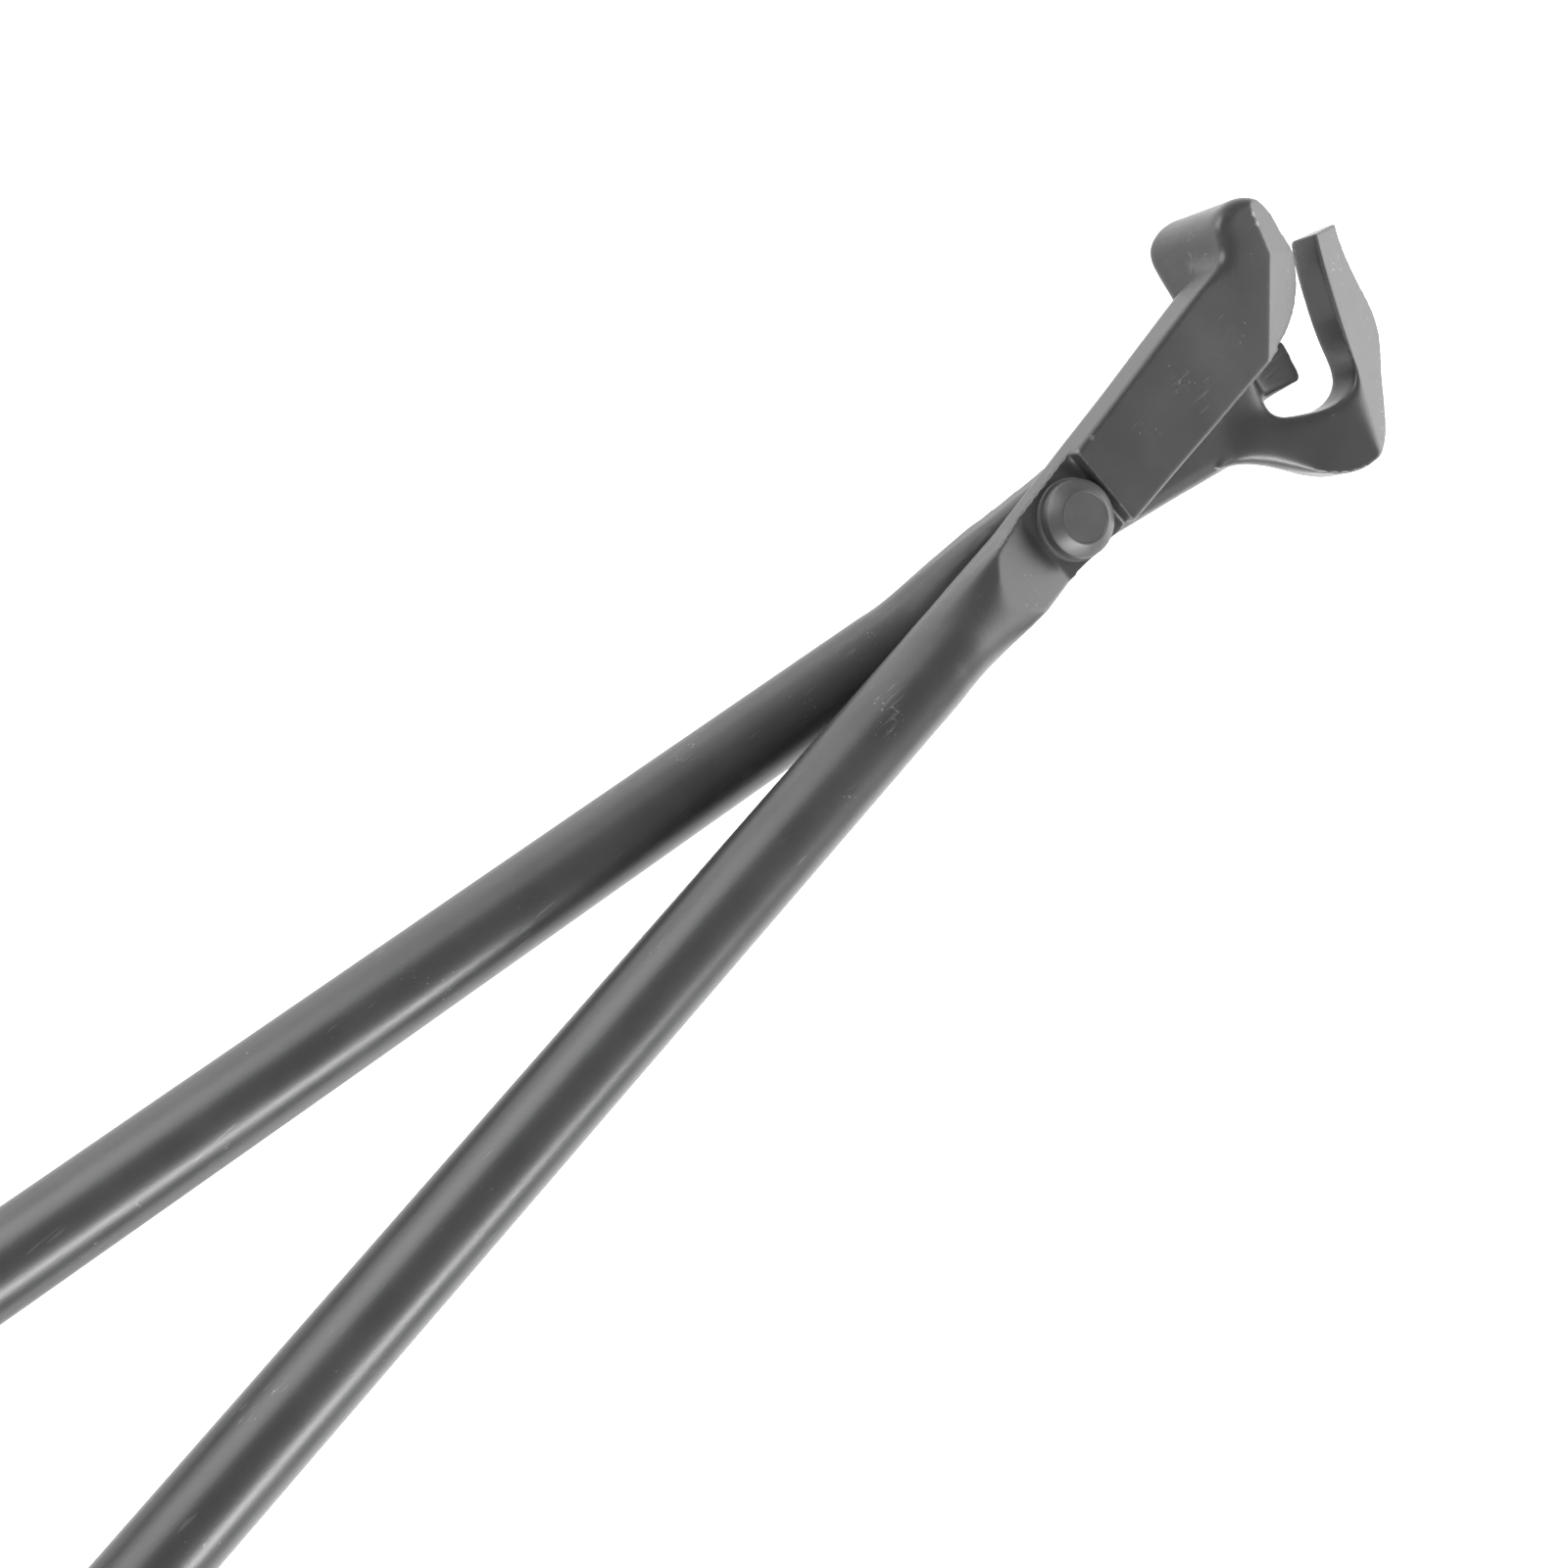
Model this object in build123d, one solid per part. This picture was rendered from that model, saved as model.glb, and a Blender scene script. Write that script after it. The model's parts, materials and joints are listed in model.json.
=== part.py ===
from build123d import *
import math
import os

# Long-handled forged lever tool with two hooked jaws on one pivot bolt.
# Millimetres. +X points from the pivot to the jaws, +Z is the pivot axis.
# The origin is on the pivot axis, midway between the two arms.

# Round bar that each arm is forged from
BAR_DIAMETER = 22.0
HANDLE_LENGTH = 560.0          # pivot axis to handle end
HANDLE_END_CHAMFER = 1.5
BAR_CLEARANCE = 0.5            # each bar stands this far off the plane between the arms
ARM_ANGLE = 6.6                # each arm's angle to the X axis at rest, degrees
FRONT_BAR_OFFSET = 2.3         # bar axis beside the pivot, in the arm's own frame
BACK_BAR_OFFSET = 5.1

# Flattened stretch through the pivot, and the blade beyond it
ARM_GAP = 0.3                  # clearance between the two arms
FLAT_THICKNESS = 15.3
FLAT_INNER_EDGE = -12.3        # edge on the side the handle swings to
BACK_FLAT_INNER_EDGE = -11.3   # the same on the back arm, which hides behind the front one
FLAT_OUTER_EDGE = 13.3
NECK_NARROWING = 1.6           # how much narrower each edge is where the neck ends
BLADE_FLARE = 4.6              # how much the outer edge has widened at the jaw
BLADE_END = 82.0
NECK_START = -50.0
NECK_END = -16.0
FRONT_FACE_ROUND = 1.2         # edges of the front arm's outer face
BACK_FACE_ROUND = 4.5          # edges of the back arm's outer face
MEETING_FACE_ROUND = 4.5       # edges on the side the arms meet

# Recess that the bolt head sits in
RECESS_DEPTH = 4.45            # below the flat's outer face
RECESS_CLEARANCE = 0.3         # from the widest thing in the recess to its front step
RECESS_BACK_CLEARANCE = 0.8    # and to where its ramp starts
RECESS_RAMP_LENGTH = 32.0

# Pivot: a shouldered bolt, its threaded tail stood in for by a plain one
BOLT_DIAMETER = 14.0
BOLT_CLEARANCE = 0.05
TAIL_DIAMETER = 10.0
HEAD_DIAMETER = 21.0
HEAD_RIM_HEIGHT = 3.2
HEAD_CROWN_WIDTH = 3.2         # sloping ring round the head's flat face
HEAD_CROWN_HEIGHT = 2.2
WASHER_OVERHANG = 0.7          # how far a washer shows round the head
WASHER_THICKNESS = 1.2
TAIL_WASHER_DIAMETER = 18.0
NUT_ACROSS_FLATS = 16.0
NUT_HEIGHT = 5.0
NUT_CHAMFER = 0.9
BOLT_TAIL_LENGTH = 1.2         # how far the bolt stands out of its nut

# Jaws, their outlines measured from the blade's end in each arm's own frame
FRONT_JAW_DEPTH = 19.0         # how far the front jaw reaches behind the plane between the arms
JAW_ROUND = 4.0
BEND_ROUND = 3.5
END_ROUND = 2.5
HOOK_TOP = 7.0                 # front and back faces of the back jaw's hook
HOOK_BOTTOM = -6.0
HOOK_ROUND = 2.5
RAMP_START = -18.0             # the hook rises out of the blade between these places
RAMP_END = 20.0
HOOK_BEVEL = ((25.0, -18.0), (34.5, 26.5))     # line that the hook's outer bevel starts from
SIDE_BEVEL = ((-4.0, -9.3), (15.5, 9.0))       # and two round the front jaw's end
END_BEVEL = ((14.5, 6.5), (20.0, 24.0))
BEVEL_ANGLE = 26.0
STUB_MIDDLE_X = 3.7            # squared end of the back blade, seen inside its hook
STUB_MIDDLE_Y = -1.5
STUB_LENGTH = 26.0
STUB_WIDTH = 12.4
STUB_BITE = 1.5                # how far it reaches up past the hook's underside
STUB_ROUND = 1.5

bar_radius = BAR_DIAMETER / 2
bar_height = bar_radius + BAR_CLEARANCE
arm_bottom = ARM_GAP / 2
arm_top = arm_bottom + FLAT_THICKNESS
bar_top = bar_height + bar_radius
bore_radius = BOLT_DIAMETER / 2
shank_radius = bore_radius - BOLT_CLEARANCE
tail_radius = TAIL_DIAMETER / 2
head_radius = HEAD_DIAMETER / 2
washer_radius = head_radius + WASHER_OVERHANG
recess_floor = arm_top - RECESS_DEPTH
widest_in_recess = max(washer_radius, TAIL_WASHER_DIAMETER / 2, NUT_ACROSS_FLATS / 2)
recess_front = widest_in_recess + RECESS_CLEARANCE
recess_back = -(widest_in_recess + RECESS_BACK_CLEARANCE)
ramp_foot = recess_back - RECESS_RAMP_LENGTH


def slab(outline, low, high):
    """A plan outline as a solid between two heights."""
    return extrude(Plane.XY.offset(low) * make_face(outline), amount=high - low)


def arm_section(at, inner_edge, outer_edge, face_round):
    """The flat's section, standing across the arm."""
    middle = (outer_edge + inner_edge) / 2
    plane = Plane(origin=(at, middle, (arm_bottom + arm_top) / 2), x_dir=(0, 1, 0), z_dir=(1, 0, 0))
    outline = Rectangle(outer_edge - inner_edge, FLAT_THICKNESS)
    outline = fillet(outline.vertices().group_by(Axis.Y)[0], MEETING_FACE_ROUND)
    outline = fillet(outline.vertices().group_by(Axis.Y)[-1], face_round)
    return plane * outline


def arm_blank(bar_offset, inner_edge, face_round):
    """Handle, neck, pivot flat and blade along +X, above the plane between the arms."""
    bar_plane = Plane(origin=(-HANDLE_LENGTH, bar_offset, bar_height), x_dir=(0, 1, 0), z_dir=(1, 0, 0))
    handle = extrude(bar_plane * Circle(bar_radius), amount=HANDLE_LENGTH + NECK_START)
    handle = chamfer(handle.faces().sort_by(Axis.X)[0].edges(), HANDLE_END_CHAMFER)
    neck_plane = Plane(origin=(NECK_START, bar_offset, bar_height), x_dir=(0, 1, 0), z_dir=(1, 0, 0))
    neck_section = arm_section(
        NECK_END, inner_edge + NECK_NARROWING, FLAT_OUTER_EDGE - NECK_NARROWING, face_round)
    flat_section = arm_section(recess_front, inner_edge, FLAT_OUTER_EDGE, face_round)
    blade_section = arm_section(BLADE_END, inner_edge, FLAT_OUTER_EDGE + BLADE_FLARE, face_round)
    neck = loft([neck_plane * Circle(bar_radius), neck_section])
    flat = loft([neck_section, flat_section])
    blade = loft([flat_section, blade_section])
    blank = handle + neck + flat + blade
    reach = bar_top + BAR_DIAMETER
    recess_side = Polyline(
        (recess_front, recess_floor), (recess_back, recess_floor),
        (ramp_foot, bar_top), (ramp_foot, reach), (recess_front, reach), close=True)
    recess = extrude(Plane.XZ * make_face(recess_side), amount=BAR_DIAMETER * 2, both=True)
    bore = Cylinder(bore_radius, bar_top * 4)
    return blank - recess - bore


def above_bevel(ends, height):
    """What a bevel takes off: it slopes down, to the right of a line between two points."""
    start, finish = Vector(*ends[0]), Vector(*ends[1])
    along = (finish - start).normalized()
    outward = along.cross(Vector(0, 0, 1))
    tilt = math.radians(BEVEL_ANGLE)
    upward = outward * math.sin(tilt) + Vector(0, 0, 1) * math.cos(tilt)
    plane = Plane(origin=start + Vector(0, 0, height), x_dir=along, z_dir=upward)
    return plane * Box(BLADE_END * 2, BLADE_END, BLADE_END, align=(Align.CENTER, Align.CENTER, Align.MIN))


def front_arm():
    """Front arm: its jaw is the blade's end bent away behind the tool."""
    end_outline = Spline(
        (13.5, -10.0), (21.0, -5.8), (25.7, 0.8), (26.0, 10.0), (12.0, 22.0), (5.5, 20.0),
        (-2.0, 16.0), (-7.0, 2.0), (-3.0, -10.0), (5.0, -11.5), periodic=True)
    bend_outline = Spline(
        (4.5, 2.0), (14.0, 0.0), (23.5, 4.5), (26.8, 13.5), (24.0, 22.0), (16.0, 27.2),
        (7.0, 25.8), (3.0, 14.0), periodic=True)
    blade_end = slab(end_outline, arm_bottom, arm_top)
    blade_end = fillet(blade_end.edges().group_by(Axis.Z)[-1], END_ROUND)
    bend = slab(bend_outline, -FRONT_JAW_DEPTH, arm_top)
    bend = fillet(bend.edges().group_by(Axis.Z)[-1], BEND_ROUND)
    bend = fillet(bend.edges().group_by(Axis.Z)[0], JAW_ROUND)
    bevels = above_bevel(SIDE_BEVEL, arm_top) + above_bevel(END_BEVEL, arm_top)
    blank = arm_blank(FRONT_BAR_OFFSET, FLAT_INNER_EDGE, FRONT_FACE_ROUND)
    whole = blank + Pos(BLADE_END, 0, 0) * (blade_end + bend) - Pos(BLADE_END, 0, 0) * bevels
    return Rot(0, 0, ARM_ANGLE) * whole


def above_hook_ramp():
    """What is cut from the hook so that it rises gently out of the blade."""
    side = Polyline((-BLADE_END, -arm_bottom), (RAMP_START, -arm_bottom), (RAMP_END, HOOK_TOP),
                    (RAMP_END, HOOK_TOP * 3), (-BLADE_END, HOOK_TOP * 3), close=True)
    return extrude(Plane.XZ * make_face(side), amount=BLADE_END, both=True)


def back_arm():
    """Back arm: its jaw bows out and turns back across the front jaw's end."""
    outer = Spline((-26.0, -14.5), (-11.0, -21.5), (1.0, -31.0), (13.5, -37.4), (27.5, -34.5),
                   (38.8, -20.8), (48.0, -8.0), (47.0, 7.5), (47.3, 25.2))
    tip = Line((47.3, 25.2), (34.5, 27.0))
    inner = Spline((34.5, 27.0), (29.7, 11.0), (27.5, -4.6), (25.5, -14.0), (15.5, -17.3),
                   (6.0, -14.5), (-4.5, -10.0), (-16.0, -7.0))
    heel = Line((-16.0, -7.0), (-26.0, -14.5))
    hook = slab(outer + tip + inner + heel, HOOK_BOTTOM, HOOK_TOP)
    hook = fillet(hook.edges().group_by(Axis.Z)[0], HOOK_ROUND)
    hook = hook - above_hook_ramp() - above_bevel(HOOK_BEVEL, HOOK_TOP)
    stub_height = arm_top + HOOK_BOTTOM + STUB_BITE
    stub = Pos(STUB_MIDDLE_X, STUB_MIDDLE_Y, -arm_top) * Box(
        STUB_LENGTH, STUB_WIDTH, stub_height, align=(Align.CENTER, Align.CENTER, Align.MIN))
    stub = fillet(stub.edges().filter_by(Axis.Z), STUB_ROUND)
    blank = Rot(180, 0, 0) * arm_blank(BACK_BAR_OFFSET, BACK_FLAT_INNER_EDGE, BACK_FACE_ROUND)
    return Rot(0, 0, -ARM_ANGLE) * (blank + Pos(BLADE_END, 0, 0) * (hook + stub))


def pivot_bolt():
    """Round head with a sloping ring, a shoulder through both arms and a thinner tail."""
    head_bottom = recess_floor + WASHER_THICKNESS
    upwards = (Align.CENTER, Align.CENTER, Align.MIN)
    rim = Pos(0, 0, head_bottom) * Cylinder(head_radius, HEAD_RIM_HEIGHT, align=upwards)
    crown = Pos(0, 0, head_bottom + HEAD_RIM_HEIGHT) * Cone(
        head_radius, head_radius - HEAD_CROWN_WIDTH, HEAD_CROWN_HEIGHT, align=upwards)
    shoulder = Pos(0, 0, -recess_floor) * Cylinder(shank_radius, recess_floor + head_bottom, align=upwards)
    tail_length = WASHER_THICKNESS + NUT_HEIGHT + BOLT_TAIL_LENGTH
    tail = Pos(0, 0, -recess_floor - tail_length) * Cylinder(tail_radius, tail_length, align=upwards)
    tail = chamfer(tail.faces().sort_by(Axis.Z)[0].edges(), BOLT_TAIL_LENGTH * 0.8)
    return rim + crown + shoulder + tail


def washer(bottom, outer_radius, hole_radius):
    """Flat washer round the bolt, its lower face at the given height."""
    upwards = (Align.CENTER, Align.CENTER, Align.MIN)
    ring = Cylinder(outer_radius, WASHER_THICKNESS, align=upwards)
    return Pos(0, 0, bottom) * (ring - Cylinder(hole_radius, WASHER_THICKNESS, align=upwards))


def pivot_nut():
    """Thin hexagon nut with both rims chamfered, tight on the bolt's tail."""
    nut_bottom = -(recess_floor + WASHER_THICKNESS + NUT_HEIGHT)
    plan = RegularPolygon(NUT_ACROSS_FLATS / 2, 6, major_radius=False)
    hexagon = extrude(plan, amount=NUT_HEIGHT)
    corner_radius = NUT_ACROSS_FLATS / 2 / math.cos(math.radians(30))
    blank = Cylinder(corner_radius, NUT_HEIGHT, align=(Align.CENTER, Align.CENTER, Align.MIN))
    blank = chamfer(blank.edges().filter_by(GeomType.CIRCLE), NUT_CHAMFER)
    bore = Cylinder(tail_radius, NUT_HEIGHT * 3)
    flat_to_recess = Rot(0, 0, 30 - ARM_ANGLE)
    return Pos(0, 0, nut_bottom) * flat_to_recess * ((hexagon & blank) - bore)


if __name__ == "__main__":
    os.makedirs("parts", exist_ok=True)
    export_step(front_arm(), "parts/front_arm.step")
    export_step(back_arm(), "parts/back_arm.step")
    export_step(pivot_bolt(), "parts/pivot_bolt.step")
    export_step(washer(recess_floor, washer_radius, bore_radius), "parts/head_washer.step")
    tail_washer = washer(-recess_floor - WASHER_THICKNESS, TAIL_WASHER_DIAMETER / 2, tail_radius + BOLT_CLEARANCE)
    export_step(tail_washer, "parts/tail_washer.step")
    export_step(pivot_nut(), "parts/pivot_nut.step")
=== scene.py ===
import math
import json

import bmesh
import bpy
from bpy.props import FloatProperty, FloatVectorProperty, IntProperty, PointerProperty
from bpy.types import Operator, Panel, PropertyGroup
from mathutils import Matrix, Vector, noise


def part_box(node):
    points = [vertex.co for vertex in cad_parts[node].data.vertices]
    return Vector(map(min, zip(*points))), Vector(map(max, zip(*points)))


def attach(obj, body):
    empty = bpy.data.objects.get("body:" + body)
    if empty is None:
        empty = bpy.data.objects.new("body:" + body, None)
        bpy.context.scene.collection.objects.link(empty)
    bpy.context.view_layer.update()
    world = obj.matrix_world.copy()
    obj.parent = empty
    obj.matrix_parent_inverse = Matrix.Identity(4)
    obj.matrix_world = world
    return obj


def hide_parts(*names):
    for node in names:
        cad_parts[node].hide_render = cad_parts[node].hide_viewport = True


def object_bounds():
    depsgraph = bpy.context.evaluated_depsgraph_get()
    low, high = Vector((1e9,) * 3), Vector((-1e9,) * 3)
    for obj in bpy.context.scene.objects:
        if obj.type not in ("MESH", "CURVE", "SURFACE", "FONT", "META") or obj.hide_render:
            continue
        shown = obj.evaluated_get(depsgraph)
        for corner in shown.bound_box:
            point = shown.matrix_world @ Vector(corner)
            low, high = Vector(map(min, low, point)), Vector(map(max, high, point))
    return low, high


bl_info = {
    "name": "Forged lever tool",
    "version": (1, 0, 0),
    "blender": (4, 5, 0),
    "location": "3D View > Sidebar > Lever tool",
    "description": "Builds the finished look of a long-handled forged lever tool on its CAD frame",
    "category": "Object",
}

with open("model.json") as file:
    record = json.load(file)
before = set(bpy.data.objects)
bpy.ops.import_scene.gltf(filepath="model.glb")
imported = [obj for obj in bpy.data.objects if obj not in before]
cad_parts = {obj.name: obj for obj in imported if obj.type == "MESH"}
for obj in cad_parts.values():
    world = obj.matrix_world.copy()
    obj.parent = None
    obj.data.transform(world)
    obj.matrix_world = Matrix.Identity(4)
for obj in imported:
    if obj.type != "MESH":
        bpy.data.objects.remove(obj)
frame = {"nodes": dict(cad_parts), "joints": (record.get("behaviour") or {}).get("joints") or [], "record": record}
CAD_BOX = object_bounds()
JOINT = frame["joints"][0]
MM = 0.001
WAVES_PER_METRE = 38.0
MERGE = 0.002 * MM

# Where the handles lie: each arm's pin mount is on its bar's axis.
MOUNTS = {mount["name"]: mount for mount in frame["record"]["mounts"]}

# Where each arm was worked hardest, so that its surfaces flow together: place, reach and passes
FLOWING = {
    "front_arm": [((0.0825, 0.0290, 0.008), 0.015, 110), ((-0.046, -0.005, 0.016), 0.018, 140)],
    "back_arm": [((0.0760, -0.0210, 0.002), 0.021, 200), ((0.1000, -0.0340, 0.004), 0.016, 40),
                 ((-0.046, 0.005, -0.012), 0.018, 140)],
}


class LeverToolSettings(PropertyGroup):
    voxel: FloatProperty(
        name="Voxel", description="Cell size that the forged heads are remeshed at",
        default=0.55 * MM, min=0.3 * MM, max=3 * MM, unit="LENGTH", precision=5)
    softening: IntProperty(
        name="Softening", description="Passes of smoothing that round the forged edges",
        default=3, min=0, max=40)
    forge_wave: FloatProperty(
        name="Forging wave", description="Height of the long unevenness that forging leaves",
        default=0.22 * MM, min=0.0, max=2 * MM, unit="LENGTH", precision=5)
    head_start: FloatProperty(
        name="Head start", description="Distance behind the pivot where the plain bar begins",
        default=68 * MM, min=50 * MM, max=200 * MM, unit="LENGTH")
    steel_colour: FloatVectorProperty(
        name="Steel", description="Colour of the dark oxide on the forged arms",
        subtype="COLOR", default=(0.060, 0.060, 0.061), min=0.0, max=1.0)
    # Colour of worn steel, also used as painted highlight along the sharp edges of the forged arms.
    worn_and_edge_highlight_colour: FloatVectorProperty(
        name="Worn steel", description="Colour of steel where the oxide has worn off",
        subtype="COLOR", default=(0.20, 0.20, 0.205), min=0.0, max=1.0)
    floor_colour: FloatVectorProperty(
        name="Floor", description="Colour of the floor",
        subtype="COLOR", default=(0.94, 0.94, 0.94), min=0.0, max=1.0)
    floor_glow: FloatProperty(
        name="Floor glow", description="How brightly the floor is lit from beneath",
        default=0.9, min=0.0, max=5.0)
    camera_place: FloatVectorProperty(
        name="Camera", description="Where the camera stands",
        subtype="TRANSLATION", default=(-0.3207, 0.1627, 0.5612))
    camera_aim: FloatVectorProperty(
        name="Aim", description="The point that the camera looks at",
        subtype="TRANSLATION", default=(-0.1062, -0.0039, 0.0))
    camera_up: FloatVectorProperty(
        name="Up", description="The direction that is up in the picture",
        subtype="DIRECTION", default=(0.630, 0.777, 0.010))
    camera_lens: FloatProperty(
        name="Lens", description="Focal length on a 36 mm sensor", default=56.2, min=10, max=300)


class Socket:
    """A shader socket that can be used in a Python expression."""

    def __init__(self, tree, socket):
        self.tree = tree
        self.socket = socket

    def math(self, operation, *others, clamp=False):
        values = {0: self}
        for index, other in enumerate(others):
            values[index + 1] = other
        return node(self.tree, "ShaderNodeMath", values, operation=operation, use_clamp=clamp)

    def __add__(self, other):
        return self.math("ADD", other)

    __radd__ = __add__

    def __sub__(self, other):
        return self.math("SUBTRACT", other)

    def __rsub__(self, other):
        return node(self.tree, "ShaderNodeMath", {0: other, 1: self}, operation="SUBTRACT")

    def __mul__(self, other):
        return self.math("MULTIPLY", other)

    __rmul__ = __mul__


def node(tree, kind, values=None, output=0, stops=None, **settings):
    """Adds one node: its settings first, then the values or links of its sockets. Returns an output."""
    made = tree.nodes.new(kind)
    for name, value in settings.items():
        setattr(made, name, value)
    if stops:
        ramp = made.color_ramp
        while len(ramp.elements) < len(stops):
            ramp.elements.new(1.0)
        for element, (place, level) in zip(ramp.elements, stops):
            element.position = place
            element.color = (level, level, level, 1.0)
    for name, value in (values or {}).items():
        if isinstance(value, Socket):
            tree.links.new(value.socket, made.inputs[name])
        else:
            made.inputs[name].default_value = value
    return Socket(tree, made.outputs[output])


def new_material(name):
    material = bpy.data.materials.new(name)
    material.use_nodes = True
    tree = material.node_tree
    shader = next(n for n in tree.nodes if n.type == "BSDF_PRINCIPLED")
    return material, tree, shader


def link(tree, value, socket):
    tree.links.new(value.socket, socket)


def mix_colour(tree, mask, first, second):
    return node(tree, "ShaderNodeMix", {0: mask, 6: first, 7: second}, output=2, data_type="RGBA")


def noise_field(tree, place, scale, detail, roughness=0.5):
    values = {"Vector": place, "Scale": scale, "Detail": detail, "Roughness": roughness}
    return node(tree, "ShaderNodeTexNoise", values)


def above(tree, value, start, full):
    """A mask that rises from 0 to 1 as a value goes from start to full."""
    return node(tree, "ShaderNodeValToRGB", {"Fac": value}, stops=[(start, 0.0), (full, 1.0)])


def forged_steel(settings):
    """Dark oxide over forged steel: cloudy tone, fine grain, nicks, and lighter edges that are partly worn steel
    and partly painted highlight.
    """
    material, tree, shader = new_material("forged_steel")
    place = node(tree, "ShaderNodeTexCoord", output=3)
    clouds = noise_field(tree, place, 55.0, 4.0, 0.55)
    grain = noise_field(tree, place, 1400.0, 3.0, 0.6)
    specks = noise_field(tree, place, 950.0, 2.0)
    patches = noise_field(tree, place, 70.0, 2.0)
    nicks = above(tree, specks * (patches + 0.5), 0.79, 0.84)
    drawn = node(tree, "ShaderNodeVectorMath", {0: place, 1: (0.05, 0.7, 1.0)}, operation="MULTIPLY")
    streaks = noise_field(tree, drawn, 1300.0, 2.0)
    scratches = above(tree, streaks * (patches + 0.5), 0.72, 0.80)
    # Lighter colour along the sharp edges: partly worn steel, partly painted highlight standing in for the thin
    # light lines that reflections draw along the edges.
    pointiness = node(tree, "ShaderNodeNewGeometry", output=7)
    edges = above(tree, pointiness, 0.515, 0.58)
    marks = (nicks * 0.6).math("MAXIMUM", scratches * 0.25)
    wear_and_edge_highlight = (edges * 0.7 * (clouds + 0.45)).math("MAXIMUM", marks, clamp=True)
    dark = tuple(0.82 * level for level in settings.steel_colour) + (1.0,)
    light = tuple(1.2 * level for level in settings.steel_colour) + (1.0,)
    toned = mix_colour(tree, clouds, dark, light)
    # Nicks, scratches and the edges take the worn steel colour; on the edges this is partly painted highlight.
    colour = mix_colour(tree, wear_and_edge_highlight, toned, tuple(settings.worn_and_edge_highlight_colour) + (1.0,))
    link(tree, colour, shader.inputs["Base Color"])
    shader.inputs["Metallic"].default_value = 0.55
    link(tree, 0.27 + clouds * 0.12 + grain * 0.06 - wear_and_edge_highlight * 0.06, shader.inputs["Roughness"])
    height = grain * 0.5 + clouds * 0.6 - nicks * 0.6 - scratches * 0.3
    bump = node(tree, "ShaderNodeBump", {"Height": height, "Strength": 0.18, "Distance": 0.00025})
    link(tree, bump, shader.inputs["Normal"])
    return material


def turned_steel(name, colour, ring_pitch, roughness):
    """Turned or stamped steel with faint rings round the pivot axis."""
    material, tree, shader = new_material(name)
    place = node(tree, "ShaderNodeTexCoord", output=3)
    across = {0: place, 1: (1.0, 1.0, 0.0)}
    flat_place = node(tree, "ShaderNodeVectorMath", across, operation="MULTIPLY")
    radius = node(tree, "ShaderNodeVectorMath", {0: flat_place}, output=1, operation="LENGTH")
    rings = (radius * (2 * math.pi / ring_pitch)).math("SINE")
    clouds = noise_field(tree, place, 160.0, 4.0)
    grain = noise_field(tree, place, 1800.0, 2.0)
    dark = tuple(0.85 * level for level in colour) + (1.0,)
    light = tuple(1.18 * level for level in colour) + (1.0,)
    link(tree, mix_colour(tree, clouds, dark, light), shader.inputs["Base Color"])
    shader.inputs["Metallic"].default_value = 0.55
    link(tree, roughness + clouds * 0.1 + grain * 0.05, shader.inputs["Roughness"])
    relief = rings * 0.3 + grain
    bump = node(tree, "ShaderNodeBump", {"Height": relief, "Strength": 0.12, "Distance": 0.0001})
    link(tree, bump, shader.inputs["Normal"])
    return material


def new_object(name, mesh, material):
    made = bpy.data.objects.new(name, mesh)
    bpy.context.scene.collection.objects.link(made)
    mesh.materials.clear()
    mesh.materials.append(material)
    mesh.polygons.foreach_set("use_smooth", [True] * len(mesh.polygons))
    return made


def evaluated_mesh(piece, name):
    """The piece's mesh with its modifiers applied; the piece itself is removed."""
    depsgraph = bpy.context.evaluated_depsgraph_get()
    mesh = bpy.data.meshes.new_from_object(piece.evaluated_get(depsgraph))
    mesh.name = name
    bpy.data.objects.remove(piece)
    return mesh


def handle_axis(mount_name):
    """A point on the handle's axis, and the direction towards the handle's free end."""
    mount = MOUNTS[mount_name]
    return Vector(mount["pos_m"]), Vector(mount["axis"]).normalized()


def head_solid(node_name, cut_point, outward):
    """The CAD arm's copy, merged, cut off where the plain bar begins and closed again."""
    mesh = frame["nodes"][node_name].data.copy()
    form = bmesh.new()
    form.from_mesh(mesh)
    bmesh.ops.remove_doubles(form, verts=form.verts, dist=MERGE)
    every = form.verts[:] + form.edges[:] + form.faces[:]
    bmesh.ops.bisect_plane(form, geom=every, plane_co=cut_point, plane_no=outward, clear_outer=True)
    bmesh.ops.holes_fill(form, edges=[edge for edge in form.edges if edge.is_boundary], sides=0)
    bmesh.ops.triangulate(form, faces=form.faces)
    form.to_mesh(mesh)
    form.free()
    return mesh


def flow_together(form, place, reach, passes):
    """Smooths the surface round a place, most in the middle and fading to nothing at its reach."""
    strongest = 0.6
    worked = []
    for vert in form.verts:
        share = (vert.co - Vector(place)).length / reach
        if share < 1.0:
            neighbours = [edge.other_vert(vert) for edge in vert.link_edges]
            worked.append((vert, neighbours, strongest * (1 - share ** 2) ** 2))
    for step in range(passes):
        moved = []
        for vert, neighbours, pull in worked:
            middle = sum((other.co for other in neighbours), Vector()) / len(neighbours)
            moved.append(vert.co.lerp(middle, pull))
        for (vert, neighbours, pull), co in zip(worked, moved):
            vert.co = co


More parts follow.
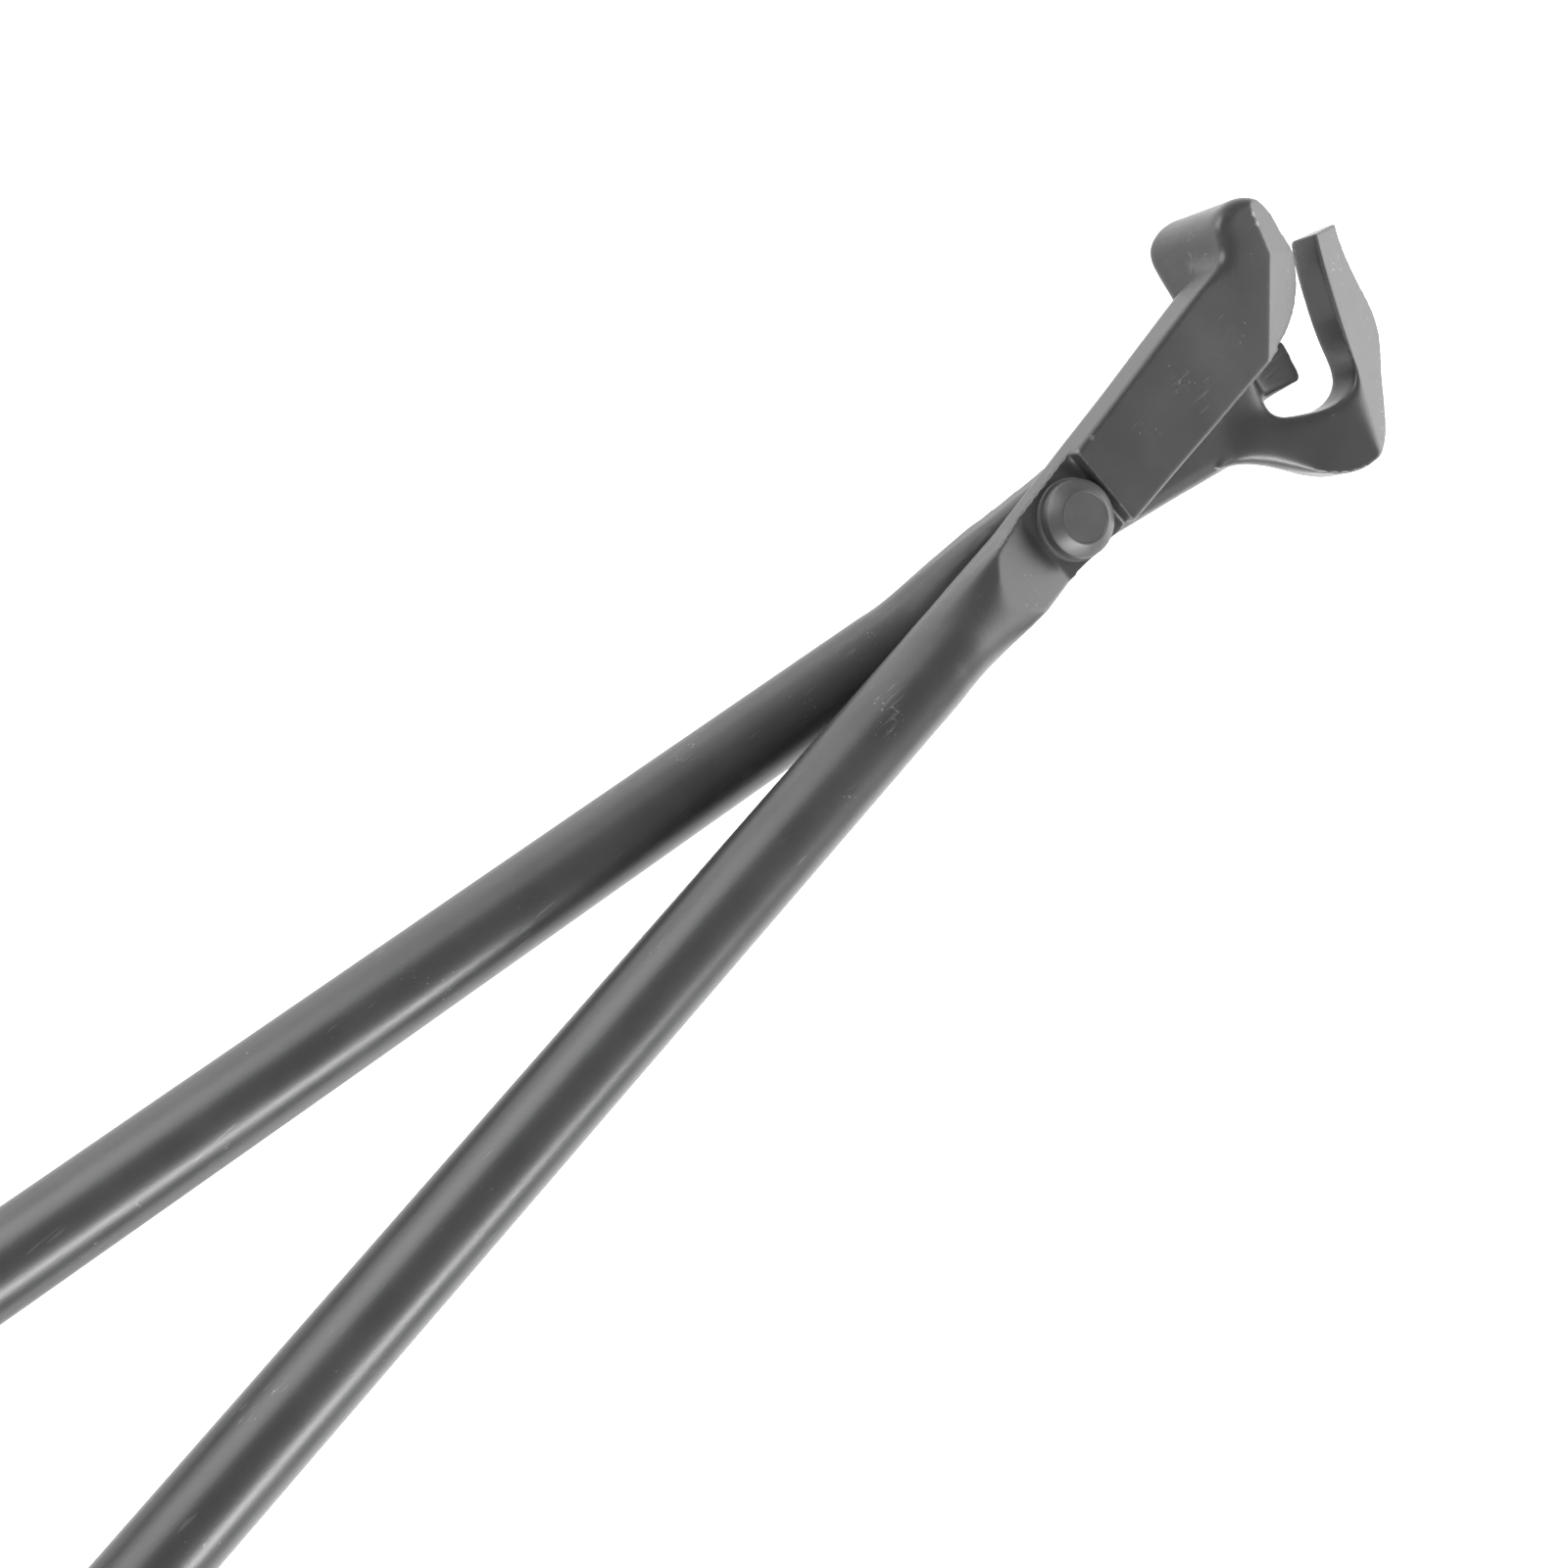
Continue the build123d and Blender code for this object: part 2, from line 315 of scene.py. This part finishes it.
def forged_arm(context, node_name, mount_name, body, material):
    """A forged arm: softened head on a plain round bar drawn out from its neck."""
    settings = context.scene.lever_tool
    axis_point, outward = handle_axis(mount_name)
    pivot = Vector(JOINT["pos_m"])
    along = (axis_point - pivot).dot(outward)
    bar_radius = MOUNTS[mount_name]["dims"]["r_mm"] * MM
    bar_start = axis_point + outward * (settings.head_start - along)
    spare = 6 * MM
    solid = head_solid(node_name, bar_start + outward * spare, outward)
    head = new_object(node_name + "_work", solid, material)
    remesh = head.modifiers.new("remesh", "REMESH")
    remesh.mode = "VOXEL"
    remesh.voxel_size = settings.voxel
    smooth = head.modifiers.new("smooth", "SMOOTH")
    smooth.factor = 0.5
    smooth.iterations = settings.softening
    mesh = evaluated_mesh(head, node_name + "_forging")

    form = bmesh.new()
    form.from_mesh(mesh)
    every = form.verts[:] + form.edges[:] + form.faces[:]
    bmesh.ops.bisect_plane(form, geom=every, plane_co=bar_start, plane_no=outward, clear_outer=True)
    for place, reach, passes in FLOWING[node_name]:
        flow_together(form, place, reach, passes)
    round_stretch = 5 * MM
    fade_stretch = 6 * MM
    form.normal_update()
    for vert in form.verts:
        offset = vert.co - bar_start
        behind = -offset.dot(outward)
        from_axis = offset + outward * behind
        keep_round = min(max((behind - round_stretch) / fade_stretch, 0.0), 1.0)
        snapped = vert.co - from_axis + from_axis.normalized() * bar_radius
        wave = noise.noise(vert.co * WAVES_PER_METRE) * settings.forge_wave
        forged = vert.co + vert.normal * wave * keep_round
        vert.co = snapped.lerp(forged, keep_round)
    rim = [edge for edge in form.edges if edge.is_boundary]
    bar_length = handle_end(node_name, outward) - bar_start.dot(outward)
    chamfer = 1.5 * MM
    support = 1 * MM
    segments = 12
    for step in range(segments):
        rim = drawn_out(form, rim, outward * ((bar_length - chamfer - support) / segments))
    rim = drawn_out(form, rim, outward * support)
    rim = drawn_out(form, rim, outward * chamfer)
    centre = bar_start + outward * bar_length
    rim_verts = {vert for edge in rim for vert in edge.verts}
    for vert in rim_verts:
        vert.co = centre + (vert.co - centre) * (1 - chamfer / bar_radius)
    bmesh.ops.holes_fill(form, edges=rim, sides=0)
    bmesh.ops.recalc_face_normals(form, faces=form.faces)
    form.to_mesh(mesh)
    form.free()
    arm = new_object(node_name + "_forging", mesh, material)
    mesh.set_sharp_from_angle(angle=math.radians(38))
    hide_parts(node_name)
    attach(arm, body)
    return arm


def handle_end(node_name, outward):
    """How far the CAD arm reaches along its handle's direction."""
    return max(vert.co.dot(outward) for vert in frame["nodes"][node_name].data.vertices)


def drawn_out(form, rim, step):
    """Extrudes an open rim by a step, and returns the new rim."""
    result = bmesh.ops.extrude_edge_only(form, edges=rim)["geom"]
    verts = [item for item in result if isinstance(item, bmesh.types.BMVert)]
    bmesh.ops.translate(form, verts=verts, vec=step)
    moved = set(verts)
    return [item for item in result if isinstance(item, bmesh.types.BMEdge)
            and item.verts[0] in moved and item.verts[1] in moved and len(item.link_faces) == 1]


class LEVERTOOL_OT_stage(Operator):
    """Make the floor, the lights and the camera"""
    bl_idname = "lever_tool.stage"
    bl_label = "Stage"

    def execute(self, context):
        settings = context.scene.lever_tool
        low = CAD_BOX[0]
        form = bmesh.new()
        bmesh.ops.create_grid(form, x_segments=1, y_segments=1, size=6.0,
                              matrix=Matrix.Translation((0, 0, low[2])))
        mesh = bpy.data.meshes.new("floor")
        form.to_mesh(mesh)
        form.free()
        material, tree, shader = new_material("floor_paper")
        shader.inputs["Base Color"].default_value = tuple(settings.floor_colour) + (1.0,)
        shader.inputs["Roughness"].default_value = 0.9
        shader.inputs["Emission Color"].default_value = (1.0, 1.0, 1.0, 1.0)
        shader.inputs["Emission Strength"].default_value = settings.floor_glow
        new_object("floor", mesh, material)
        self.light("left_softbox", context, (-0.25, 1.05, 0.45), (0.9, 0.9), 11.0)
        self.light("right_softbox", context, (1.05, -0.55, 0.45), (0.9, 0.9), 11.0)
        self.light("handle_strip", context, (-0.40, -0.85, 0.84), (1.3, 0.16), 24.0)
        world = bpy.data.worlds.new("studio")
        context.scene.world = world
        world.use_nodes = True
        background = next(n for n in world.node_tree.nodes if n.type == "BACKGROUND")
        tree = world.node_tree
        direction = node(tree, "ShaderNodeTexCoord", output=0)
        height = node(tree, "ShaderNodeSeparateXYZ", {"Vector": direction}, output=2)
        sky = node(tree, "ShaderNodeValToRGB", {"Fac": height},
                   stops=[(0.0, 1.0), (0.30, 0.80), (0.62, 0.34), (1.0, 0.26)])
        link(tree, sky, background.inputs["Color"])
        background.inputs["Strength"].default_value = 1.1
        self.camera(context, settings)
        context.scene.view_settings.view_transform = "Standard"
        return {"FINISHED"}

    def light(self, name, context, place, size, power):
        data = bpy.data.lights.new(name, "AREA")
        data.shape = "RECTANGLE"
        data.size, data.size_y = size
        data.energy = power
        lamp = bpy.data.objects.new(name, data)
        lamp.location = place
        lamp.rotation_euler = (-Vector(place)).to_track_quat("-Z", "Y").to_euler()
        context.scene.collection.objects.link(lamp)

    def camera(self, context, settings):
        data = bpy.data.cameras.new("camera")
        data.lens = settings.camera_lens
        data.clip_start = 0.01
        camera = bpy.data.objects.new("camera", data)
        back = (Vector(settings.camera_place) - Vector(settings.camera_aim)).normalized()
        right = Vector(settings.camera_up).cross(back).normalized()
        turn = Matrix((right, back.cross(right), back)).transposed()
        camera.matrix_world = Matrix.Translation(settings.camera_place) @ turn.to_4x4()
        context.scene.collection.objects.link(camera)
        context.scene.camera = camera


class LEVERTOOL_OT_arms(Operator):
    """Make the two forged arms"""
    bl_idname = "lever_tool.arms"
    bl_label = "Forged arms"

    def execute(self, context):
        steel = forged_steel(context.scene.lever_tool)
        forged_arm(context, "front_arm", "front_handle_end", "front_lever", steel)
        forged_arm(context, "back_arm", "back_handle_end", "back_lever", steel)
        return {"FINISHED"}


def turned_mesh(name, outline):
    """A solid of revolution about the pivot axis, from its outline of radius and height."""
    form = bmesh.new()
    points = [form.verts.new((radius, 0, height)) for radius, height in outline]
    lines = [form.edges.new(pair) for pair in zip(points, points[1:])]
    bmesh.ops.spin(form, geom=points + lines, cent=(0, 0, 0), axis=(0, 0, 1), angle=2 * math.pi, steps=128)
    bmesh.ops.remove_doubles(form, verts=form.verts, dist=MERGE)
    bmesh.ops.recalc_face_normals(form, faces=form.faces)
    mesh = bpy.data.meshes.new(name)
    form.to_mesh(mesh)
    form.free()
    return mesh


def bolt(material):
    """The pivot bolt: a head with a sunk face and rounded rim, its shoulder and its tail."""
    low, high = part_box("pivot_bolt")
    head_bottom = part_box("head_washer")[1][2]
    tail_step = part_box("tail_washer")[1][2]
    head = (high[0] - low[0]) / 2
    shoulder = 6.95 * MM
    tail = 5 * MM
    outline = [
        (0, high[2] - 0.2 * MM), (head - 3.9 * MM, high[2] - 0.2 * MM), (head - 3.7 * MM, high[2]),
        (head - 3.3 * MM, high[2]), (head - 3.05 * MM, high[2] - 0.12 * MM),
        (head - 0.5 * MM, high[2] - 1.95 * MM), (head - 0.12 * MM, high[2] - 2.35 * MM),
        (head, high[2] - 2.9 * MM), (head, head_bottom + 0.35 * MM), (head - 0.35 * MM, head_bottom),
        (shoulder, head_bottom), (shoulder, tail_step), (tail, tail_step),
        (tail, low[2] + 0.96 * MM), (tail - 0.96 * MM, low[2]), (0, low[2])]
    made = new_object("pivot_bolt_turned", turned_mesh("pivot_bolt_turned", outline), material)
    made.data.set_sharp_from_angle(angle=math.radians(30))
    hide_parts("pivot_bolt")
    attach(made, "back_lever")


class LEVERTOOL_OT_pivot(Operator):
    """Finish the bolt, its washers and its nut"""
    bl_idname = "lever_tool.pivot"
    bl_label = "Pivot"

    def execute(self, context):
        bolt_steel = turned_steel("bolt_steel", (0.075, 0.075, 0.076), 0.5 * MM, 0.36)
        washer_steel = turned_steel("washer_steel", (0.14, 0.14, 0.143), 0.4 * MM, 0.32)
        bolt(bolt_steel)
        finishes = {"pivot_nut": bolt_steel, "head_washer": washer_steel, "tail_washer": washer_steel}
        for name, material in finishes.items():
            part = frame["nodes"][name]
            part.data.materials.clear()
            part.data.materials.append(material)
        return {"FINISHED"}


class LEVERTOOL_PT_panel(Panel):
    """Lists the steps that build the tool"""
    bl_idname = "LEVERTOOL_PT_panel"
    bl_label = "Lever tool"
    bl_space_type = "VIEW_3D"
    bl_region_type = "UI"
    bl_category = "Lever tool"

    def draw(self, context):
        layout = self.layout
        for operator in STEPS:
            layout.operator(operator.bl_idname)
        for name in LeverToolSettings.__annotations__:
            layout.prop(context.scene.lever_tool, name)


STEPS = (LEVERTOOL_OT_stage, LEVERTOOL_OT_arms, LEVERTOOL_OT_pivot)
CLASSES = (LeverToolSettings, *STEPS, LEVERTOOL_PT_panel)


def register():
    for cls in CLASSES:
        bpy.utils.register_class(cls)
    bpy.types.Scene.lever_tool = PointerProperty(type=LeverToolSettings)


def unregister():
    del bpy.types.Scene.lever_tool
    for cls in reversed(CLASSES):
        bpy.utils.unregister_class(cls)


def main():
    register()
    bpy.ops.lever_tool.stage()
    bpy.ops.lever_tool.arms()
    bpy.ops.lever_tool.pivot()


if __name__ == "__main__":
    main()
